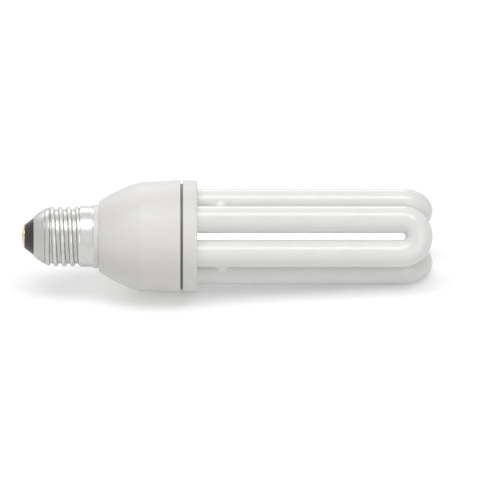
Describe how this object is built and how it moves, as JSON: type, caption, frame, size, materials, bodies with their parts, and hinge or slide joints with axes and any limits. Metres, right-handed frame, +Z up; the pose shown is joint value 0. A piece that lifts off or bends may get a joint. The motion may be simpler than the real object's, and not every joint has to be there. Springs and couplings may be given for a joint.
{
  "type": "compact fluorescent bulb",
  "caption": "Compact fluorescent bulb: U-bent white glass tubes in a moulded ballast housing on a coarse-threaded screw cap",
  "frame": {"origin": "on the lamp's axis, at the middle of the cap's plain skirt, where a holder grips it", "axes": "+X along the lamp's axis from the cap to the tubes, +Z up as the lamp lies on its lowest U-tube, +Y to the back"},
  "size_m": [0.1782, 0.049, 0.049],
  "materials": {
    "screw_shell": "nickel-bright rolled sheet",
    "cap_insulator": "glossy black moulded glass",
    "centre_contact": "stamped, lightly tarnished",
    "contact_solder": "dull tin solder",
    "ballast_housing": "fine satin moulding",
    "tube_holder": "fine satin moulding",
    "discharge_tube": "glossy glass over a milk-white coating",
    "tube_adhesive": "cured silicone",
    "circuit_board": "paper laminate",
    "wrap_pins": "tinned",
    "tube_leads": "bare wire",
    "reservoir_capacitor": "shrunk sleeve on a can",
    "choke_core": "sintered ferrite",
    "choke_bobbin": "moulded",
    "choke_winding": "enamelled copper wire",
    "drive_toroid": "coated ferrite",
    "toroid_windings": "enamelled copper wire",
    "power_transistors": "moulded",
    "film_capacitors": "dipped",
    "filter_inductor": "shrunk sleeve",
    "rectifier_diodes": "moulded",
    "board_resistors": "lacquered",
    "trigger_diode": "lacquered",
    "fusible_resistor": "lacquered",
    "live_lead": "insulated wire",
    "neutral_lead": "insulated wire"
  },
  "bodies": {
    "root": {"screw_shell": "screw_shell", "cap_insulator": "cap_insulator", "centre_contact": "centre_contact", "contact_solder": "contact_solder", "ballast_housing": "ballast_housing", "tube_holder": "tube_holder", "discharge_tube": "discharge_tube", "tube_adhesive": "tube_adhesive", "circuit_board": "circuit_board", "wrap_pins": "wrap_pins", "tube_leads": "tube_leads", "reservoir_capacitor": "reservoir_capacitor", "choke_core": "choke_core", "choke_bobbin": "choke_bobbin", "choke_winding": "choke_winding", "drive_toroid": "drive_toroid", "toroid_windings": "toroid_windings", "power_transistors": "power_transistors", "film_capacitors": "film_capacitors", "filter_inductor": "filter_inductor", "rectifier_diodes": "rectifier_diodes", "board_resistors": "board_resistors", "trigger_diode": "trigger_diode", "fusible_resistor": "fusible_resistor", "live_lead": "live_lead", "neutral_lead": "neutral_lead"}
  },
  "joints": []
}
